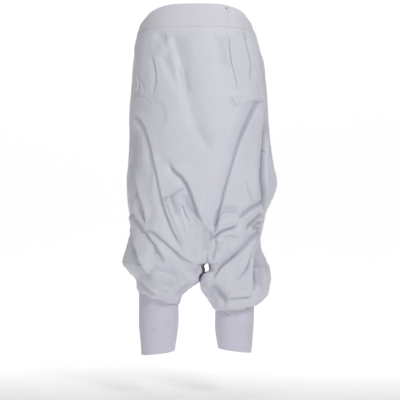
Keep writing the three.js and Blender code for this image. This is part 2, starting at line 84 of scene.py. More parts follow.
# A row for each crease as its view shows it: the points (across, height) that it runs through, the
# side that its lip lies on going down it (1 right, -1 left), the lip's rise and reach, the drop and
# reach of the slack beside it, the depth of the nip between them and its half width, how far the
# lip leans over it, and the shares of its length over which it starts and ends. The deeper a nip,
# the darker the painted shade that it lays into the cloth's colour.
crease_columns = ("path", "side", "rise", "wide", "drop", "slack", "nip", "narrow", "lean", "starts",
                  "ends")
hollow = (1, .3, 10, .3, 10)  # side to slack of a soft hollow, which has next to no lip
front_creases = [
    # the two long laps that frame the middle of the front
    ([(168, -187), (149, -198), (126, -239), (101, -293), (82, -353), (65, -413), (51, -473),
      (39, -519)], 1, 7, 46, 5, 30, 4, 3.2, 1, .05, .08),
    ([(171, -187), (149, -198), (129, -236), (104, -288), (89, -329)],
     1, 1, 12, 2, 10, 4.5, 2.4, 0, .1, .4),
    ([(-155, -227), (-139, -237), (-124, -265), (-109, -316), (-96, -379), (-82, -445),
      (-62, -498), (-43, -536), (-21, -572)], 1, 3, 26, 4, 22, 2.8, 2.2, 1.5, .04, .2),
    # tucks between the left lap and the middle
    ([(-69, -343), (-55, -363), (-36, -380), (-21, -406), (-9, -440), (3, -471), (17, -488)],
     1, 5, 40, 5, 24, 3.4, 5.5, 1, .1, .2),
    ([(-26, -405), (-48, -413), (-65, -425), (-84, -429)], 1, 4, 18, 3, 14, 3, 2.4, 1.5, .2, .1),
    ([(-65, -425), (-57, -449), (-45, -473)], -1, 4, 15, 5, 16, 4, 3, 1.5, .08, .25),
    ([(-38, -440), (-29, -466), (-17, -485)], 1, 2.5, 16, 3, 20, 1.5, 4, 0, .2, .3),
    ([(-77, -432), (-62, -473), (-45, -512), (-24, -555)], 1, 4.5, 11, 1, 10, 0, 5, 0, .15, .2),
    ([(-45, -447), (-36, -485), (-21, -531)], 1, 3.5, 10, 1, 10, 0, 5, 0, .2, .3),
    ([(-99, -331), (-79, -339), (-65, -346)], -1, 1.5, 12, 3, 16, 1, 4, 0, .3, .2),
    # the left leg's laps, from the outer edge down to the crotch and the roll
    ([(-170, -445), (-152, -474), (-134, -498), (-119, -520), (-97, -551), (-82, -578), (-77, -597)],
     1, 4, 22, 5, 20, 2.5, 3.2, 1.5, .1, .3),
    ([(-129, -508), (-109, -509), (-87, -526), (-62, -549), (-31, -575), (3, -593)],
     1, 4, 30, 5, 22, 1.6, 3, 1.5, .06, .3),
    ([(-157, -300), (-156, -347), (-152, -384), (-141, -425), (-131, -459), (-126, -491)],
     1, 6, 24, 6, 18, 6, 3, 1.5, .3, .12),
    ([(-170, -458), (-159, -506), (-153, -540), (-144, -574), (-131, -601), (-107, -622)],
     1, 7, 30, 8, 20, 7, 3.4, 2, .12, .12),
    ([(-152, -619), (-125, -646), (-98, -668)], 1, 4, 16, 2, 12, 4, 3, 1, .15, .2),
    ([(-114, -595), (-89, -600), (-60, -611), (-31, -633)], -1, 9, 36, 4, 24, 1.8, 4, 0, .15, .2),
    # the right leg's puffs, knot and radiating laps
    ([(111, -464), (85, -459), (65, -461), (50, -473)], 1, 5, 16, 7, 18, 2, 6, 0, .3, .1),
    ([(104, -492), (77, -499), (58, -506), (39, -523)], -1, 18, 20, 6, 18, 3.6, 2.6, 2.5, .25, .05),
    ([(53, -466), (50, -483), (44, -502)], 1, 3, 14, 4, 14, 3, 4, 0, .2, .2),
    ([(164, -440), (139, -452), (119, -465), (99, -483)], 1, 6, 26, 5, 16, 5, 3, 2, .05, .25),
    ([(162, -469), (141, -486), (119, -506)], 1, 6, 16, 6, 14, 6, 3.4, 1.5, .05, .3),
    ([(160, -487), (147, -499), (134, -503)], 1, 3, 12, 7, 18, 4.5, 4, 0, .1, .3),
    ([(158, -499), (129, -532), (104, -557), (80, -577), (56, -597), (36, -626)],
     1, 6, 28, 6, 22, 5.5, 3.2, 1.5, .03, .12),
    ([(155, -504), (139, -535), (129, -571), (117, -602), (95, -633)],
     -1, 6, 22, 6, 18, 5, 3.2, 2, .04, .2),
    ([(162, -512), (152, -541), (144, -574), (140, -603), (142, -657)],
     -1, 9, 22, 11, 24, 12, 5, 0, .05, .15),
    ([(162, -562), (168, -588), (173, -615)], -1, 3, 12, 4, 12, 3, 3.5, 0, .2, .25),
    ([(135, -669), (105, -670), (71, -676)], -1, 5, 18, 3, 12, 4, 3, 1, .12, .25),
    ([(41, -519), (45, -543), (39, -567), (36, -582)], 1, 4, 20, 5, 28, 0, 5, 0, .15, .2),
    # soft hollows between the laps; their nips also lay painted shade into the colour
    ([(-29, -413), (-21, -442), (-5, -476)], *hollow, 4, 10, 0, .3, .3),
    ([(20, -490), (22, -524), (24, -563)], *hollow, 3, 15, 0, .3, .2),
    ([(-26, -592), (-9, -601), (8, -611)], *hollow, 3, 12, 0, .3, .2),
    ([(32, -635), (49, -658), (76, -684)], *hollow, 4, 15, 0, .2, .3),
    ([(152, -565), (154, -604), (152, -653)], *hollow, 4, 12, 0, .2, .2),
    ([(-152, -251), (-152, -315), (-146, -389)], *hollow, 3, 13, 0, .2, .3),
    ([(-109, -544), (-97, -568), (-75, -590)], *hollow, 3, 10, 0, .3, .3),
    ([(-87, -10), (-87, -40), (-97, -73)], *hollow, 2, 15, 0, .3, .3),
    ([(49, -26), (66, -70), (82, -118)], *hollow, 2, 11, 0, .3, .2),
    ([(-5, -240), (15, -281), (39, -315)], *hollow, 1.6, 14, 0, .3, .4),
    ([(-33, -105), (-26, -148), (-17, -187)], *hollow, 2.2, 9, 0, .3, .3),
    # the right side's valley, between the front and the slack behind it
    ([(176, -198), (175, -238), (170, -283), (166, -327), (163, -379), (168, -428), (166, -462)],
     1, 5, 20, 7, 22, 12, 3.4, 0, .05, .08),
    ([(156, -355), (151, -374), (156, -398)], -1, 3, 12, 3, 12, 3, 3, 0, .2, .2),
    # pulls down from the waistband
    ([(73, -13), (78, -50), (82, -94), (92, -133), (98, -172)], 1, 2.5, 20, 3.5, 28, 1, 2.5, 1, .3, .12),
    ([(118, 13), (120, -27), (127, -64), (134, -93), (134, -116), (127, -151)],
     -1, 2, 20, 6, 30, 2, 6, 0, .1, .35),
    ([(39, -29), (61, -80), (78, -114)], 1, .6, 20, 2, 20, 0, 12, 0, .2, .3),
    ([(82, -182), (90, -199), (97, -213)], 1, 2, 16, 2.5, 12, 1.5, 3, 0, .2, .3),
    ([(112, -198), (131, -196), (152, -191)], -1, 1.5, 14, 2.5, 14, 1, 4, 0, .3, .2),
    ([(-113, -72), (-108, -92), (-102, -121), (-101, -142), (-104, -164), (-108, -185)],
     1, 1, 14, 2, 14, .8, 3, .3, .2, .3),
    ([(-158, -176), (-135, -183), (-122, -191), (-109, -202)], -1, 1.5, 16, 1, 12, 1.6, 2.2, .5, .05, .3),
    ([(-124, -190), (-94, -198), (-80, -220), (-80, -245), (-94, -261)],
     1, .8, 18, 2.2, 30, 0, 9, 0, .3, .3),
    ([(-147, -118), (-142, -151), (-150, -172)], -1, .8, 10, .8, 9, 1.6, 2.2, .5, .2, .2),
    ([(-139, -137), (-129, -168)], -1, .8, 9, .8, 8, 1.6, 2.2, .5, .2, .25),
    ([(-60, -16), (-53, -58), (-43, -100), (-31, -156), (-24, -204), (-12, -245), (8, -281),
      (44, -327)], -1, .3, 14, 9, 46, 0, 14, 0, .12, .25),
    ([(-97, -69), (-75, -111), (-55, -148), (-36, -187)], -1, .3, 14, 4.5, 32, 0, 12, 0, .3, .3),
    ([(-102, -16), (-82, -50), (-65, -89)], -1, .3, 14, 4.5, 34, 0, 13, 0, .2, .3),
    ([(-46, -104), (-36, -148), (-25, -190)], 1, .8, 12, 1, 12, 1.4, 2.2, 0, .25, .3),
    # small ones
    ([(-26, -440), (-9, -461), (13, -492)], -1, 3, 10, 2.5, 9, 1.5, 2.4, .5, .2, .25),
    ([(-17, -481), (3, -485), (28, -513)], -1, 3.5, 10, 3, 9, 2, 2.4, .5, .15, .2),
    ([(58, -525), (82, -519), (109, -528)], -1, 3, 10, 3, 9, 2, 2.4, .5, .2, .25),
    ([(44, -533), (52, -538), (60, -545)], -1, 2.5, 8, 2.5, 8, 2, 2.2, 0, .2, .3),
    ([(46, -548), (58, -551)], -1, 2.5, 8, 2.5, 8, 2, 2.2, 0, .3, .3),
    ([(118, -377), (126, -408), (139, -440)], -1, 2, 14, 2, 12, 1, 4, 0, .25, .3),
    ([(-120, -296), (-112, -350), (-116, -420)], 1, 2, 26, 2, 20, 0, 9, 0, .3, .3),
    ([(-92, -658), (-64, -661)], -1, 2, 12, 2, 10, 1, 3, 0, .3, .3),
    ([(-12, -628), (-34, -652), (-52, -672)], 1, 3, 16, 3, 14, 2, 4, 0, .25, .3),
    ([(36, -640), (56, -668), (72, -690)], -1, 3, 16, 4, 18, 2, 5, 0, .25, .3),
]
# the back, with the same cut and much the same laps
back_creases = [
    ([(158, -150), (122, -236), (96, -318), (66, -430), (30, -540)],
     -1, 9, 46, 5, 24, 5, 3.2, 3, .06, .12),
    ([(-150, -120), (-112, -214), (-86, -310), (-58, -420), (-24, -524)],
     1, 9, 44, 5, 24, 5, 3.2, 3, .06, .12),
    ([(44, -30), (40, -150), (14, -310)], -1, 4, 44, 3, 30, 0, 14, 0, .15, .3),
    ([(-62, -30), (-58, -150), (-28, -270)], 1, 4, 40, 3, 28, 0, 14, 0, .15, .3),
    ([(100, -34), (98, -110), (72, -190)], -1, 4, 26, 3, 16, 2.5, 4, 0, .06, .3),
    ([(-108, -32), (-114, -100), (-98, -172)], 1, 4, 24, 3, 16, 2.5, 4, 0, .06, .3),
    ([(163, -362), (138, -408), (104, -462), (74, -520), (40, -572)],
     -1, 8, 32, 5, 18, 7, 3.5, 3, .06, .15),
    ([(-163, -340), (-142, -402), (-114, -464), (-84, -520), (-44, -578)],
     1, 8, 34, 6, 20, 7, 3.5, 3, .06, .15),
    ([(74, -344), (58, -392), (34, -436), (8, -484)], -1, 5, 30, 4, 20, 5, 3.5, 2, .12, .25),
    ([(-88, -392), (-62, -436), (-18, -494)], -1, 4, 24, 4, 16, 5, 3.5, 2, .12, .25),
    ([(52, -452), (28, -462), (2, -458)], 1, 3, 16, 3, 12, 4, 3, 1, .2, .25),
    ([(168, -484), (138, -536), (104, -588), (62, -644)], -1, 7, 28, 5, 18, 7, 3.5, 3, .06, .2),
    ([(-168, -478), (-140, -532), (-102, -592), (-50, -644)], 1, 7, 28, 5, 18, 7, 3.5, 3, .06, .2),
    ([(152, -532), (140, -580), (112, -664)], 1, 5, 22, 5, 16, 5, 3.5, 2, .1, .2),
    ([(-158, -540), (-140, -592), (-116, -652)], -1, 5, 22, 5, 16, 5, 3.5, 2, .1, .2),
    ([(28, -560), (60, -582), (98, -586)], 1, 4, 20, 3, 14, 3, 3.5, 0, .2, .25),
    ([(-20, -470), (6, -486), (30, -512)], -1, 2.5, 9, 2, 8, 3, 2.5, .5, .2, .25),
    ([(-66, -520), (-40, -514), (-12, -524)], -1, 2, 9, 2, 8, 2.5, 2.5, .5, .25, .25),
]
# the sides, seen along x, where y runs across
right_creases = [
    ([(-30, -60), (-8, -200), (-24, -372)], 1, 4, 42, 4, 28, 2, 5, 0, .1, .25),
    ([(52, -180), (26, -330), (-20, -480)], -1, 6, 38, 5, 24, 6, 3.5, 2.5, .12, .2),
    ([(70, -330), (42, -440), (4, -560)], -1, 5, 30, 5, 20, 6, 3.5, 2, .12, .2),
    ([(40, -520), (16, -590), (2, -664)], 1, 5, 28, 5, 18, 6, 3.5, 2, .12, .2),
    ([(-46, -560), (-32, -610), (-24, -660)], -1, 4, 20, 4, 16, 4, 3.5, 1, .2, .25),
]
left_creases = [
    ([(26, -60), (6, -190), (20, -360)], 1, 4, 40, 4, 26, 2, 5, 0, .1, .25),
    ([(-56, -190), (-20, -340), (30, -490)], 1, 6, 38, 5, 24, 6, 3.5, 2.5, .12, .2),
    ([(-66, -400), (-32, -490), (8, -580)], 1, 5, 30, 5, 20, 6, 3.5, 2, .12, .2),
    ([(50, -430), (34, -510), (10, -600)], -1, 5, 26, 5, 18, 6, 3.5, 2, .12, .25),
]
creases = {"front": front_creases, "back": back_creases, "right": right_creases, "left": left_creases}


def ease(low, high, v):
    t = np.clip((v - low) / (high - low), 0, 1)
    return t * t * (3 - 2 * t)


def between(a, b, c, d, t):
    """A smooth curve from b to c that also heeds a before them and d after them."""
    return b + 0.5 * t * (c - a + t * (2 * a - 5 * b + 4 * c - d + t * (3 * (b - c) + d - a)))


def read(rows, name, p):
    """A column of a table, read smoothly at place p, counted in rows."""
    col = np.asarray(rows[name], float)
    i = np.clip(np.floor(p).astype(int), 0, len(col) - 2)
    t = p - i
    at = lambda k: col[np.clip(k, 0, len(col) - 1)]
    return between(at(i - 1), at(i), at(i + 1), at(i + 2), t)


def place(rows, name, v):
    """Where the value v stands in a column of a table, counted in rows."""
    col = np.asarray(rows[name], float)
    n = np.arange(len(col))
    return np.interp(v, col, n) if col[0] < col[-1] else np.interp(-np.asarray(v), -col, n)


def power(v, p):
    """A power that keeps the sign of v."""
    return np.sign(v) * np.abs(v) ** p


def turned_angles(side, s, z):
    """Angles round the body and the leg, for column places s from 0 to 2 and heights z."""
    hip, knee = side_seam[side], side_seam["leg"]
    straight = np.where(s <= 1, s * hip, hip + (s - 1) * (180 - hip))
    leg = np.where(s <= 1, -90 + s * (90 + knee), knee + (s - 1) * (270 - knee))
    across = (1 + power(np.sin(np.radians(leg)), leg_round)) / 2
    lined = np.degrees(np.arcsin(np.clip(across, 0, 1) ** (1 / hip_round)))
    matched = np.where(np.cos(np.radians(leg)) >= 0, lined, 180 - lined)
    # from the hips down the columns move over to where they run on into the legs
    return straight + (matched - straight) * ease(-230, -540, z), leg


def body_point(side, angle, z):
    """Points of the plain form at angles from the front, round one side of the body."""
    p = place(body, "z", z)
    middle = read(body, "middle", p)
    half = read(body, "left", p) + middle if side < 0 else read(body, "right", p) - middle
    c = power(np.cos(np.radians(angle)), hip_round)
    x = middle + side * half * np.abs(np.sin(np.radians(angle))) ** hip_round
    y = np.where(c > 0, -read(body, "front", p) * c, -read(body, "back", p) * c)
    return np.stack([x, y, z + 0 * x], -1)


def ring_point(rows, angle, p, square=3.8):
    """Points of a leg's or a cuff's ring, p rows down its table."""
    s = power(np.sin(np.radians(angle)), leg_round)
    c = power(np.cos(np.radians(angle)), leg_round)
    p = np.asarray(p, float) + 0 * s
    share = (1 + s) / 2
    get = lambda name: read(rows, name, p)
    # the inner side is squarer near the crotch, where the legs press together
    corner = 2.2 + square * ease(5.5, 2.5, p)
    c = np.where(s < 0, np.sign(c) * (1 - np.abs(s) ** corner) ** (1 / corner), c)
    z = get("z_in") * (1 - share) + get("z_out") * share - get("sag") * np.maximum(0, c)
    y = np.where(c > 0, -get("front") * c, -get("back") * c)
    return np.stack([get("inn") * (1 - share) + get("out") * share, y, z], -1)


def from_front(side, angle):
    """The angle at which the waist edge's table is read for a panel."""
    return np.abs(angle - edge_turn * side * np.sin(np.radians(angle)))


# the shared form, as a grid: rows down from the waistband seam, columns round each side
front_columns, back_columns = 96, 72
across = front_columns + back_columns
steps = np.arange(across + 1)
column_place = np.where(
    steps <= front_columns, steps / front_columns, 1 + (steps - front_columns) / back_columns)
body_rows, closing_rows, leg_rows = 166, 16, 60
top_height = -20  # of the first row, before it is laid along the waistband's edge
arch_round = 0.55  # power of the arch at the crotch: less is squarer


def body_row(side, z, under=None, arch=0.0):
    """A row round one side. Near the crotch its middle turns under in an arch, and the rest goes
    over to the leg."""
    angle, leg = turned_angles(side, column_place, z)
    apart = ease(0.1, 0.5, np.minimum(column_place, 2 - column_place))
    down = z if under is None else under + (z - under) * apart
    low = read(waist_edge, "band", place(waist_edge, "angle", from_front(side, angle)))
    height = down + (low - top_height) * ease(-150, top_height, down)
    point = body_point(side, angle, height)
    onto = ring_point(legs[side], leg, 0)
    p = place(body, "z", height)
    front_depth = read(body, "front", p) / body["front"][-1]
    back_depth = read(body, "back", p) / body["back"][-1]
    depth = np.where(onto[:, 1] < 0, front_depth, back_depth)
    over = arch + (ease(parting, crotch, height) - arch) * apart
    point[:, 0] += (onto[:, 0] - point[:, 0]) * arch
    point[:, 1] += (onto[:, 1] * depth - point[:, 1]) * over
    return point


def leg_row(side, share):
    """A row round one leg, a share of the way from the crotch to the cuff."""
    rows = legs[side]
    _, leg = turned_angles(side, column_place, -600.0)
    point = ring_point(rows, leg, share * (len(rows["out"]) - 1))
    inner = ease(0.4, 0.1, (1 + np.sin(np.radians(leg))) / 2)
    point[:, 2] -= 0.065 * (point[:, 1] + 85) * inner * ease(0, 0.08, share) * ease(0.5, 0.25, share)
    # where the legs press together, the right one laps in front of the left one
    if share < 0.6:
        contact = 13 + 7 * np.tanh(point[:, 1] / 40)
        room = side * (point[:, 0] - contact) - 1
        push = np.log1p(np.exp(np.clip(-room / 1.5, -30, 30))) * 1.5
        point[:, 0] += side * np.where(room < 8, push, 0) * ease(-608, -620, point[:, 2])
    return point


def fine_grid(side):
    rows = [body_row(side, z) for z in np.linspace(top_height, crotch + closing, body_rows + 1)]
    for i in range(1, closing_rows + 1):
        turn = i * math.pi / 2 / closing_rows
        under = crotch + closing * (1 - math.sin(turn) ** arch_round)
        level = crotch + closing * (1 - i / closing_rows)
        rows.append(body_row(side, level, under, 1 - math.cos(turn) ** arch_round))
    # the rows lie closer together in a leg's lower part, where it rolls under
    upper_rows, upper_share, lower_share = 20, 0.42, 0.58
    for i in range(1, leg_rows + 1):
        if i <= upper_rows:
            share = upper_share * i / upper_rows
        else:
            share = upper_share + lower_share * (i - upper_rows) / (leg_rows - upper_rows)
        rows.append(leg_row(side, share))
    return np.array(rows)


last_body = body_rows + closing_rows
row_count = last_body + leg_rows + 1
points = np.concatenate([fine_grid(side).reshape(-1, 3) for side in (-1, 1)])
left_ids, right_ids = np.arange(len(points)).reshape(2, row_count, across + 1)
ids = {-1: left_ids, 1: right_ids}
# the two sides meet on the middle lines, each leg closes on its inside, and all meet at the crotch
ids[1][:last_body, 0] = ids[-1][:last_body, 0]
ids[1][:last_body, across] = ids[-1][:last_body, across]
for side in (-1, 1):
    ids[side][last_body + 1:, across] = ids[side][last_body + 1:, 0]
    ids[side][last_body, [0, across]] = ids[-1][last_body, 0]
points[ids[-1][last_body, 0]] = (crotch_across, 0, crotch)
row_of = np.zeros(len(points), int)
row_of[ids[-1]] = row_of[ids[1]] = np.arange(row_count)[:, None]


def cells_of(table, turned=False):
    """The four corners of every cell of a grid, in turn round the cell or, turned, the other way."""
    corners = [table[:-1, :-1], table[:-1, 1:], table[1:, 1:], table[1:, :-1]]
    return np.stack(corners[::-1] if turned else corners, 2)


def quads_of(side, first=0, last=across):
    return cells_of(ids[side][:, first:last + 1], side > 0).reshape(-1, 4)


every_quad = np.concatenate([quads_of(-1), quads_of(1)])


def normals_of(at, quads=every_quad):
    face = np.cross(at[quads[:, 2]] - at[quads[:, 0]], at[quads[:, 3]] - at[quads[:, 1]])
    total = np.zeros_like(at)
    for k in range(4):
        np.add.at(total, quads[:, k], face)
    return total / np.maximum(np.linalg.norm(total, axis=1, keepdims=True), 1e-9)


def smooth_path(corners, steps=12):
    """Points of a smooth line through the given ones."""
    p = np.array([corners[0], *corners, corners[-1]], float)
    t = np.linspace(0, 1, steps, endpoint=False)[:, None]
    line = []
    for a, b, c, d in zip(p, p[1:], p[2:], p[3:]):
        line.append(between(a, b, c, d, t))
    return np.concatenate(line + [p[-1:]])


def fading(q):
    """1 where q is 0, falling smoothly to 0 where q is 1."""
    q = np.clip(q, 0, 1)
    return (1 - q) ** 2 * (1 + 2 * q)


def creased(at, normal, tables, keep):
    """The points with every crease of the tables pressed in, and the painted shade of each point, darker
    the further into a nip it lies.
    """
    edge_on, well_seen = 0.03, 0.28  # how squarely the cloth faces a view where creases start and are full
    # a nip this deep gets the full painted shade
    nip_for_full_painted_shade = 9
    rise, slide, painted_nip_shade = np.zeros(len(at)), np.zeros_like(at), np.zeros(len(at))
    for view, row in ((view, row) for view, rows in tables.items() for row in rows):
        c = dict(zip(crease_columns, row))
        axis = 0 if view in ("left", "right") else 1
        facing = normal[:, axis] * (1 if view in ("back", "right") else -1)
        turn = 1 if view in ("front", "right") else -1
        x = at[:, 1 - axis] * turn
        line = smooth_path(c["path"]) * (turn, 1)
        reach = max(c["wide"], c["slack"]) + 1
        low, high = line.min(0) - reach, line.max(0) + reach
        inside = (x > low[0]) & (x < high[0]) & (at[:, 2] > low[1]) & (at[:, 2] < high[1])
        near = np.flatnonzero((facing > edge_on) & inside)
        if not len(near):
            continue
        spot = np.stack([x[near], at[near, 2]], -1)
        a, d = line[:-1], line[1:] - line[:-1]
        length = np.linalg.norm(d, axis=1)
        gap = spot[:, None] - a
        part = np.clip((gap * d).sum(-1) / (d * d).sum(-1), 0, 1)
        far = np.linalg.norm(gap - part[..., None] * d, axis=-1)
        best = far.argmin(1)
        pick = np.arange(len(near))
        along = (np.cumsum(np.r_[0, length])[best] + part[pick, best] * length[best]) / length.sum()
        way = d[best] * np.where(line[-1, 1] > line[0, 1], -1, 1) / length[best, None]
        cross = gap[pick, best, 0] * -way[:, 1] + gap[pick, best, 1] * way[:, 0]
        off = far[pick, best] * np.sign(cross) * c["side"]
        fade = ease(0, c["starts"], along) * ease(1, 1 - c["ends"], along)
        spread = 0.55 + 0.45 * fade
        step = ease(-c["narrow"] / 3, c["narrow"] * 1.2, off)
        lip, slack = fading(off / (c["wide"] * spread)), fading(-off / (c["slack"] * spread))
        weight = fade * ease(edge_on, well_seen, facing[near]) * keep[near]
        nip = np.exp(-(off / c["narrow"]) ** 2)
        # painted shade: the colour is made darker along each nip, most at its middle
        painted_nip_shade[near] = np.maximum(painted_nip_shade[near], weight * min(1, c["nip"] / nip_for_full_painted_shade) * nip ** 2)
        rise[near] += weight * (c["rise"] * lip * step - c["drop"] * slack * (1 - step) - c["nip"] * nip)
        lean = -c["lean"] * weight * step * fading(off / (c["wide"] * 0.4)) * c["side"]
        slide[near, 1 - axis] += lean * -way[:, 1] * turn
        slide[near, 2] += lean * way[:, 0]
    return at + normal * rise[:, None] + slide, painted_nip_shade


plain_normals = normals_of(points)
leg_share = np.clip((row_of - last_body) / leg_rows, 0, 1)
keep = np.where(row_of <= last_body, ease(0, 9, row_of), ease(1, 0.74, leg_share))
draped, painted_nip_shade = creased(points, plain_normals, creases, keep)


def slack_at(x, y, z):
    """How far the slack between the creases swells out: slowly down the cloth, and in shallow
    crumples that deepen below the thighs."""
    below_thighs = min(0, z + 380)
    slow = noise.noise(Vector((x / 62 + 3.1, y / 62, z / 118)))
    shallow = noise.noise(Vector((x / 27, y / 27 + 7.7, z / 40)))
    ridges = 0.35 - abs(noise.noise(Vector((x / 15 + 1.3, y / 15, z / 19 + 5))))
    return 2.2 * slow + (0.8 - 0.013 * below_thighs) * shallow + (0.4 - 0.008 * below_thighs) * ridges


swell = np.array([slack_at(*spot) for spot in points])
draped += plain_normals * (swell * keep)[:, None]

# gathers where the legs are drawn into the cuffs, and a light pucker along the sewn edges
for side in (-1, 1):
    rows = np.arange(last_body + 1, row_count)
    share = (rows - last_body) / leg_rows
    for row, part in zip(rows, share):
        spin = column_place[:across] * math.pi
        wave = np.sin(11 * spin + 0.9 * np.sin(3 * spin + side)) + 0.4 * np.sin(19 * spin + 2 * side)
        depth = 0.8 * ease(0.35, 0.6, part) * ease(1.0, 0.8, part)
        draped[ids[side][row, :across]] += plain_normals[ids[side][row, :across]] * (wave * depth)[:, None]
    seam_wave = 0.5 * np.sin(np.arange(row_count) * 0.95 + 1.7 * side) * ease(0, 8, np.arange(row_count))
    for near_seam in range(-5, 6):
        col = ids[side][:, front_columns + near_seam]
        draped[col] += plain_normals[col] * (seam_wave * (1 - abs(near_seam) / 6))[:, None]

outward = normals_of(draped)


def in_scene(name, data):
    piece = bpy.data.objects.new(name, data)
    bpy.context.collection.objects.link(piece)
    return piece


def sheet_mesh(name, at, quads, uv, material, thickness, painted_crease_shade=None):
    """A mesh of the show side, with its UV in metres and its nips' painted shade, thickened inwards."""
    used, local = np.unique(quads, return_inverse=True)
    mesh = bpy.data.meshes.new(name)
    mesh.from_pydata((at[used] * 0.001).tolist(), [], local.reshape(-1, 4).tolist())
    layer = mesh.uv_layers.new(name="UVMap")
    layer.data.foreach_set("uv", uv.astype(np.float32).ravel())
    # the nips' painted shade goes on the points, for the material to darken the colour with
    if painted_crease_shade is not None:
        painted_shade_layer = mesh.attributes.new("painted_crease_shade", "FLOAT", "POINT")
        painted_shade_layer.data.foreach_set("value", painted_crease_shade[used].astype(np.float32))
    mesh.polygons.foreach_set("use_smooth", np.ones(len(mesh.polygons), bool))
    mesh.materials.append(material)
    piece = in_scene(name, mesh)
    if thickness:
        wall = piece.modifiers.new("thickness", "SOLIDIFY")
        wall.thickness, wall.offset = thickness * 0.001, -1
        wall.use_quality_normals = True
    mesh.update()
    return piece


def give(made, values):
    """Set a node's input sockets, by name."""
    for socket, value in values.items():
        made.inputs[socket].default_value = value


def node(tree, kind, values=None, **settings):
    made = tree.nodes.new(kind)
    for key, value in settings.items():
        setattr(made, key, value)
    give(made, values or {})
    return made


def math_node(tree, operation, a, b=None):
    made = node(tree, "ShaderNodeMath", operation=operation)
    for socket, value in zip(made.inputs, (a, b)):
        if isinstance(value, (int, float)):
            socket.default_value = value
        elif value is not None:
            tree.links.new(value, socket)
    return made.outputs[0]


def plain_weave_group():
    """Over-and-under threads with slubs: a height for the bump and a tone mask for the colour."""
    tree = bpy.data.node_groups.new("plain weave", "ShaderNodeTree")
    link = tree.links.new
    face = tree.interface
    face.new_socket("Position", in_out="INPUT", socket_type="NodeSocketVector")
    face.new_socket("Threads", in_out="INPUT", socket_type="NodeSocketFloat").default_value = 2200
    face.new_socket("Slub", in_out="INPUT", socket_type="NodeSocketFloat").default_value = 0.5
    face.new_socket("Height", in_out="OUTPUT", socket_type="NodeSocketFloat")
    face.new_socket("Tone", in_out="OUTPUT", socket_type="NodeSocketFloat")
    come, go = node(tree, "NodeGroupInput"), node(tree, "NodeGroupOutput")
    split = node(tree, "ShaderNodeSeparateXYZ")
    link(come.outputs["Position"], split.inputs[0])
    waves = []
    for axis in (0, 1):
        turns = math_node(tree, "MULTIPLY", split.outputs[axis], come.outputs["Threads"])
        wave = math_node(tree, "SINE", math_node(tree, "MULTIPLY", turns, math.pi))
        waves.append(math_node(tree, "ABSOLUTE", wave))
    weave = math_node(tree, "MULTIPLY", waves[0], waves[1])
    slubs = []
    for stretch in ((900, 60, 1), (70, 1000, 1)):
        mapping = node(tree, "ShaderNodeMapping", {"Scale": stretch})
        link(come.outputs["Position"], mapping.inputs["Vector"])
        thread = node(tree, "ShaderNodeTexNoise", {"Scale": 1, "Detail": 2})
        link(mapping.outputs[0], thread.inputs["Vector"])
        slubs.append(thread.outputs[0])
    slub = math_node(tree, "MULTIPLY", math_node(tree, "ADD", slubs[0], slubs[1]), 0.5)
    height = math_node(tree, "ADD", math_node(tree, "MULTIPLY", weave, 0.35),
                       math_node(tree, "MULTIPLY", slub, come.outputs["Slub"]))
    link(height, go.inputs["Height"])
    link(slub, go.inputs["Tone"])
    return tree


weave_group = plain_weave_group()


def cloth_material(name, light, dark, threads, slub, crumple, roughness):
    """Cotton with a faint gloss: weave and slubs on the piece's UV, crumples and faint tone on its
    place, and painted shade that darkens the colour along its nips."""
    material = bpy.data.materials.new(name)
    material.use_nodes = True
    tree = material.node_tree
    link = tree.links.new
    shader = tree.nodes["Principled BSDF"]
    give(shader, {"Sheen Weight": 0.03, "Sheen Roughness": 0.45, "Specular IOR Level": 0.5})
    uv = node(tree, "ShaderNodeUVMap", uv_map="UVMap")
    spot = node(tree, "ShaderNodeTexCoord")
    weave = node(tree, "ShaderNodeGroup", node_tree=weave_group)
    give(weave, {"Threads": threads, "Slub": slub})
    link(uv.outputs[0], weave.inputs["Position"])
    patches = node(tree, "ShaderNodeTexNoise", {"Scale": 9, "Detail": 4})
    link(spot.outputs["Object"], patches.inputs["Vector"])
    mixed = math_node(tree, "ADD", math_node(tree, "MULTIPLY", patches.outputs[0], 0.6),
                      math_node(tree, "MULTIPLY", weave.outputs["Tone"], 0.4))
    ramp = node(tree, "ShaderNodeValToRGB")
    ramp.color_ramp.elements[0].position, ramp.color_ramp.elements[0].color = 0.3, (*dark, 1)
    ramp.color_ramp.elements[1].position, ramp.color_ramp.elements[1].color = 0.7, (*light, 1)
    link(mixed, ramp.inputs[0])
    painted_shade_tint = (0.6, 0.6, 0.67)  # painted shade: what is left of the dark tone in the deepest nip
    # painted shade: the colour goes towards the darker tone along the creases' nips, where shade falls
    painted_crease_shade = node(tree, "ShaderNodeAttribute", attribute_name="painted_crease_shade")
    shaded = node(tree, "ShaderNodeMix", data_type="RGBA")
    shaded.inputs[7].default_value = (*[tone * left for tone, left in zip(dark, painted_shade_tint)], 1)
    link(painted_crease_shade.outputs["Fac"], shaded.inputs[0])
    link(ramp.outputs[0], shaded.inputs[6])
    link(shaded.outputs[2], shader.inputs["Base Color"])
    uneven = math_node(tree, "MULTIPLY", weave.outputs["Tone"], 0.12)
    link(math_node(tree, "ADD", uneven, roughness - 0.06), shader.inputs["Roughness"])
    creasing = node(tree, "ShaderNodeTexNoise", {"Scale": 34, "Detail": 3, "Distortion": 0.8})
    link(spot.outputs["Object"], creasing.inputs["Vector"])
    soft = node(tree, "ShaderNodeBump", {"Strength": crumple, "Distance": 0.004})
    link(creasing.outputs[0], soft.inputs["Height"])
    fine = node(tree, "ShaderNodeBump", {"Strength": 0.18, "Distance": 0.0003})
    link(weave.outputs["Height"], fine.inputs["Height"])
    link(soft.outputs[0], fine.inputs["Normal"])
    link(fine.outputs[0], shader.inputs["Normal"])
    return material


